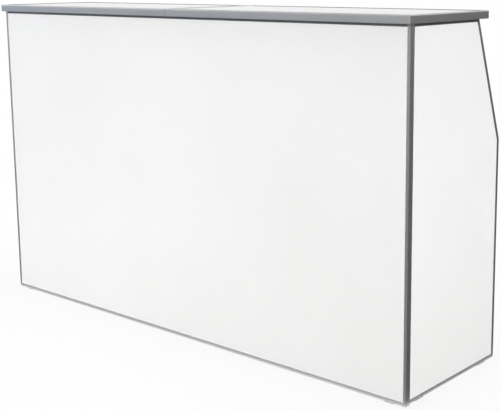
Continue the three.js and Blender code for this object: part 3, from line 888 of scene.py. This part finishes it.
class BAR_OT_seals(bpy.types.Operator):
    """Lay thin sealant beads round the counter's fields, painting shade along the lips, and a seam
    strip
    """

    bl_idname = "portable_bar.seals"
    bl_label = "Sealant beads"

    def execute(self, context):
        # Partly painted shade: the dark sealant also paints the shade along the step at the lips
        colour = context.scene.bar_finishes.sealant_and_shade
        sealant_and_shade = moulded("dark_sealant", colour, base_roughness=0.45, grain_scale=300.0)

        def lay(piece, hand):
            give(piece, sealant_and_shade, "foot_rubber", body_of(f"counter_{hand}_board"))

        for hand in SIDES:
            trim_low, trim_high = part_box(f"counter_{hand}_trim_end")
            leaf_low, leaf_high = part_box(f"counter_hinge_{hand}_leaf")
            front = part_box(f"counter_{hand}_trim_front")[1].y
            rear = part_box(f"counter_{hand}_trim_rear")[0].y
            low_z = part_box(f"counter_{hand}_board")[1].z
            high_z = low_z + SEAL_HEIGHT
            if hand == "left":
                start, stop, shift = trim_high.x, leaf_low.x, SEAL_WIDTH
            else:
                start, stop, shift = leaf_high.x, trim_low.x, -SEAL_WIDTH
            bead = block(f"counter_{hand}_seal", (start, front, low_z), (stop, rear, high_z))
            cut(bead, block(
                "field_cutter",
                (start + shift, front + SEAL_WIDTH, low_z - SEAL_HEIGHT),
                (stop + shift, rear - SEAL_WIDTH, high_z + SEAL_HEIGHT),
            ))
            lay(bead, hand)

        play = Vector((SEAM_PLAY, SEAM_PLAY, SEAM_PLAY))
        front_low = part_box("counter_right_trim_front")[0]
        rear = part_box("counter_right_trim_rear")[1].y
        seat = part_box("counter_hinge_right_leaf")[0].z
        low = Vector((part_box("counter_left_board")[1].x, front_low.y, front_low.z))
        high = Vector((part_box("counter_right_board")[0].x, rear, seat))
        lay(block("counter_seam_strip", low + play, high - play), "right")
        return {"FINISHED"}


class BAR_OT_hinges(bpy.types.Operator):
    """Finish the leaves and pins of the hinges, the dowels and the shelf's strike plate"""

    bl_idname = "portable_bar.hinges"
    bl_label = "Hinges and dowels"

    def execute(self, context):
        edges = context.scene.bar_edges
        steel = zinc_steel("zinc_steel")
        leaves = ["shelf_hinge_fixed_leaf", "shelf_hinge_moving_leaf", "shelf_hinge_pin"]
        for hand in SIDES:
            hinge = f"{hand}_hinge"
            leaves += [f"{hinge}_fixed_leaf", f"{hinge}_moving_leaf", f"{hinge}_pin"]
            leaves.append(f"{hand}_bracket_pin")
        for node in leaves:
            dress(node, steel, edges.leaf)
        coat = powder_coat("white_coat_counter_hinge")
        for piece in ("left_leaf", "right_leaf", "pin"):
            dress(f"counter_hinge_{piece}", coat, edges.leaf)
        for hand in SIDES:
            dress(f"counter_dowel_{hand}", steel, edges.moulding)
        dress("shelf_strike_plate", steel, edges.leaf)
        return {"FINISHED"}


class BAR_OT_fittings(bpy.types.Operator):
    """Finish the brackets, turn buttons, magnet, glides and feet"""

    bl_idname = "portable_bar.fittings"
    bl_label = "Fittings and feet"

    def execute(self, context):
        finishes = context.scene.bar_finishes
        edges = context.scene.bar_edges
        coat = powder_coat("white_coat_brackets")
        nylon = moulded("grey_nylon", finishes.nylon, base_roughness=0.42, grain_scale=1500.0)
        rubber = moulded("black_rubber", finishes.rubber, base_roughness=0.68, grain_scale=900.0)
        for hand in SIDES:
            dress(f"{hand}_bracket_wall_plate", coat, edges.bracket)
            dress(f"{hand}_bracket_arm", coat, edges.bracket)
            dress(f"{hand}_turn_block", nylon, edges.moulding)
            dress(f"{hand}_turn_button", nylon, edges.moulding)
            dress(f"front_glide_{hand}", nylon, edges.moulding)
            for end in ("front", "rear"):
                dress(f"{hand}_side_foot_{end}", rubber, edges.moulding)
        dress("shelf_hold_magnet", nylon, edges.moulding)
        return {"FINISHED"}


class BAR_OT_screws(bpy.types.Operator):
    """Model the screws of the hinges, the bracket plates and the batten"""

    bl_idname = "portable_bar.screws"
    bl_label = "Screws"

    def execute(self, context):
        sizes = context.scene.bar_fasteners
        finishes = {
            "hinge_steel": zinc_steel("zinc_screw"),
            "white_coat": powder_coat("white_coat_screw"),
        }

        def row(name, node, places, outwards, slot="hinge_steel", rise=sizes.head_rise):
            screws(
                name, body_of(node), places, outwards, finishes[slot], slot, sizes.head_radius,
                rise,
            )

        for hand, sign in zip(SIDES, (-1, 1)):
            node = f"{hand}_hinge_fixed_leaf"
            low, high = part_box(node)
            x = (low.x if sign > 0 else high.x) + sign * sizes.leaf_inset
            y = low.y + LEAF_THICKNESS
            heights = spread(low.z, high.z, sizes.hinge_spacing)
            row(f"{hand}_hinge_fixed_screws", node, [(x, y, z) for z in heights], AXES["Y"])

            node = f"{hand}_hinge_moving_leaf"
            low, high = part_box(node)
            x = (high.x if sign > 0 else low.x) - sign * LEAF_THICKNESS
            y = high.y - sizes.leaf_inset
            row(
                f"{hand}_hinge_moving_screws", node, [(x, y, z) for z in heights],
                AXES["X"] * -sign,
            )

            node = f"counter_hinge_{hand}_leaf"
            low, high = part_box(node)
            x = (high.x if sign > 0 else low.x) - sign * sizes.narrow_inset
            z = low.z + COUNTER_LEAF_THICKNESS
            depths = spread(low.y, high.y, sizes.hinge_spacing)
            row(
                f"counter_hinge_{hand}_screws", node, [(x, y, z) for y in depths], AXES["Z"],
                "white_coat", sizes.low_rise,
            )

            node = f"{hand}_bracket_wall_plate"
            low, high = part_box(node)
            y = low.y + PLATE_THICKNESS
            corners = [
                (x, y, z)
                for x in (low.x + PLATE_SCREW_INSET, high.x - PLATE_SCREW_INSET)
                for z in (low.z + PLATE_SCREW_DROP, high.z - PLATE_SCREW_DROP)
            ]
            row(f"{hand}_bracket_plate_screws", node, corners, AXES["Y"])

        node = "shelf_hinge_fixed_leaf"
        low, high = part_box(node)
        across = spread(low.x, high.x, sizes.hinge_spacing)
        y = low.y + LEAF_THICKNESS
        z = high.z - sizes.leaf_inset
        row("shelf_hinge_fixed_screws", node, [(x, y, z) for x in across], AXES["Y"])

        node = "shelf_hinge_moving_leaf"
        low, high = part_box(node)
        y = high.y - sizes.leaf_inset
        z = low.z + LEAF_THICKNESS
        row("shelf_hinge_moving_screws", node, [(x, y, z) for x in across], AXES["Z"])

        node = "counter_seam_batten"
        low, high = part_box(node)
        x = (low.x + 3 * high.x) / 4
        depths = spread(low.y, high.y, sizes.hinge_spacing)
        row("seam_batten_screws", node, [(x, y, low.z) for y in depths], AXES["Z"] * -1)
        return {"FINISHED"}


# Studio

def soft_box(name, place, target, size, power):
    """A wide area lamp that looks at a target, and that metal doesn't mirror."""
    lamp = bpy.data.lights.new(name, "AREA")
    lamp.shape = "RECTANGLE"
    lamp.size, lamp.size_y = size
    lamp.energy = power
    box = bpy.data.objects.new(name, lamp)
    box.location = place
    box.rotation_euler = (Vector(target) - Vector(place)).to_track_quat("-Z", "Y").to_euler()
    box.visible_camera = False
    box.visible_glossy = False
    bpy.context.scene.collection.objects.link(box)


def grey_card(name, place, facing, size, tone, cool_factors=None):
    """A flat card that only mirror-like surfaces see. Factors can make its left end cooler."""
    clear_selection()
    bpy.ops.mesh.primitive_plane_add(size=1, location=place)
    card = bpy.context.object
    card.name = name
    card.rotation_euler = Vector(facing).to_track_quat("Z", "Y").to_euler()
    card.scale = (*size, 1)
    card.visible_camera = False
    card.visible_diffuse = False
    card.visible_shadow = False
    card.visible_transmission = False
    finish = Finish(name)
    colour = opaque(tone)
    if cool_factors is not None:
        to_right = (card.rotation_euler.to_matrix() @ AXES["X"]).x
        from_left = finish.coordinate("X") * to_right + 0.5
        cool = opaque(factor * part for factor, part in zip(cool_factors, tone))
        colour = finish.mixed(finish.ramp(from_left, *COOL_SPAN), cool, colour)
    finish.show(finish.node("ShaderNodeEmission", None, {"Color": colour, "Strength": 1.0}))
    card.data.materials.append(finish.material)


class BAR_OT_stage(bpy.types.Operator):
    """Set up the floor, the even sky, the soft boxes, the mirrored cards and the camera"""

    bl_idname = "portable_bar.stage"
    bl_label = "Studio"

    def execute(self, context):
        studio = context.scene.bar_studio
        context.scene.view_settings.view_transform = "Standard"
        self.make_floor(studio)
        self.make_sky(context, studio)
        middle = (CAD_BOX[0] + CAD_BOX[1]) / 2
        for name, (place, size) in SOFT_BOXES.items():
            soft_box(f"{name}_box", place, middle, size, getattr(studio, f"{name}_power"))
        self.make_cards(studio)
        self.make_camera(context, studio)
        return {"FINISHED"}

    def make_floor(self, studio):
        """A pale floor that takes the bar's shadow and fades to plain white."""
        clear_selection()
        bpy.ops.mesh.primitive_plane_add(size=FLOOR_SIZE, location=(0, 0, -FLOOR_DROP))
        floor = bpy.context.object
        floor.name = "studio_floor"
        finish = Finish("pale_floor")
        matt = finish.node("ShaderNodeBsdfDiffuse", None, {"Color": opaque(studio.floor)})
        plain = finish.node("ShaderNodeEmission", None, {"Color": WHITE, "Strength": 1.0})
        half = (CAD_BOX[1] - CAD_BOX[0]) / 2
        past_end = abs(finish.coordinate("X")) - half.x
        past_front = abs(finish.coordinate("Y")) - half.y
        away = past_end.at_least(past_front) * (1.0 / studio.floor_fade)
        fade = finish.ramp(away, low=0.0, high=1.0, start=studio.floor_lift)
        finish.show(finish.mixed_shader(finish.rays_that_look() * fade, matt, plain))
        floor.data.materials.append(finish.material)

    def make_sky(self, context, studio):
        """An even sky that lights the bar, and shows as plain white."""
        world = bpy.data.worlds.new("even_sky")
        world.use_nodes = True
        context.scene.world = world
        tree = Tree(world.node_tree)
        light = tree.node("ShaderNodeBackground", None, {"Color": WHITE, "Strength": studio.sky})
        plain = tree.node("ShaderNodeBackground", None, {"Color": WHITE, "Strength": 1.0})
        tree.show(tree.mixed_shader(tree.rays_that_look(), light, plain))

    def make_cards(self, studio):
        """Cards on the floor, in front, at the right and overhead, which the trims mirror."""
        low, high = CAD_BOX
        front_edge = low.y - studio.front_gap
        side_edge = high.x + studio.side_gap
        half_reach = CARD_REACH / 2
        grey_card(
            "front_floor_card", (0.0, front_edge - half_reach, CARD_LIFT), AXES["Z"],
            (FRONT_CARD_WIDTH, CARD_REACH), studio.front_tone, studio.cool_factors,
        )
        grey_card(
            "side_floor_card", (side_edge + half_reach, front_edge + half_reach, CARD_LIFT),
            AXES["Z"], (CARD_REACH, CARD_REACH), studio.side_tone,
        )
        grey_card(
            "side_card", SIDE_CARD_PLACE, SIDE_CARD_FACING, SIDE_CARD_SIZE, studio.side_tone,
        )
        grey_card(
            "front_card", (0.0, front_edge - CARD_REACH, FRONT_CARD_HEIGHT / 2), AXES["Y"],
            (FRONT_CARD_WIDTH, FRONT_CARD_HEIGHT), studio.wall_tone, studio.cool_factors,
        )
        grey_card(
            "ceiling_card", (0.0, 0.0, CEILING_HEIGHT), AXES["Z"] * -1, CEILING_SIZE,
            studio.ceiling_tone,
        )

    def make_camera(self, context, studio):
        """The photograph's camera, from its focal length and principal point in pixels."""
        lens = bpy.data.cameras.new("photo_camera")
        width, height = studio.picture_pixels
        across, down = studio.centre_pixels
        lens.lens = studio.focal_pixels / width * lens.sensor_width
        lens.shift_x = (width / 2 - across) / width
        lens.shift_y = (down - height / 2) / width
        camera = bpy.data.objects.new("photo_camera", lens)
        camera.location = studio.camera_place
        tilt = math.pi / 2 - studio.camera_pitch
        level = Euler((tilt, 0.0, studio.camera_azimuth)).to_quaternion()
        camera.rotation_mode = "QUATERNION"
        camera.rotation_quaternion = level @ Quaternion(AXES["Z"], studio.camera_roll)
        context.scene.collection.objects.link(camera)
        context.scene.camera = camera


# Add-on

OPERATORS = (
    BAR_OT_stage,
    BAR_OT_boards,
    BAR_OT_trims,
    BAR_OT_seals,
    BAR_OT_hinges,
    BAR_OT_fittings,
    BAR_OT_screws,
)

SETTINGS = {
    "bar_finishes": BarFinishes,
    "bar_edges": BarEdges,
    "bar_fasteners": BarFasteners,
    "bar_studio": BarStudio,
}


class BAR_PT_sidebar(bpy.types.Panel):
    """Steps that dress the bar, and the settings that they read"""

    bl_idname = "BAR_PT_sidebar"
    bl_label = "Folding Portable Bar"
    bl_space_type = "VIEW_3D"
    bl_region_type = "UI"
    bl_category = "Portable Bar"

    def draw(self, context):
        for operator in OPERATORS:
            self.layout.operator(operator.bl_idname)
        for name, settings in SETTINGS.items():
            section = self.layout.box()
            for setting in settings.__annotations__:
                section.prop(getattr(context.scene, name), setting)


def register():
    for name, settings in SETTINGS.items():
        bpy.utils.register_class(settings)
        setattr(bpy.types.Scene, name, bpy.props.PointerProperty(type=settings))
    for operator in OPERATORS:
        bpy.utils.register_class(operator)
    bpy.utils.register_class(BAR_PT_sidebar)


def unregister():
    bpy.utils.unregister_class(BAR_PT_sidebar)
    for operator in reversed(OPERATORS):
        bpy.utils.unregister_class(operator)
    for name, settings in SETTINGS.items():
        delattr(bpy.types.Scene, name)
        bpy.utils.unregister_class(settings)


def main():
    register()
    bpy.ops.portable_bar.stage()
    bpy.ops.portable_bar.boards()
    bpy.ops.portable_bar.trims()
    bpy.ops.portable_bar.seals()
    bpy.ops.portable_bar.hinges()
    bpy.ops.portable_bar.fittings()
    bpy.ops.portable_bar.screws()


if __name__ == "__main__":
    main()
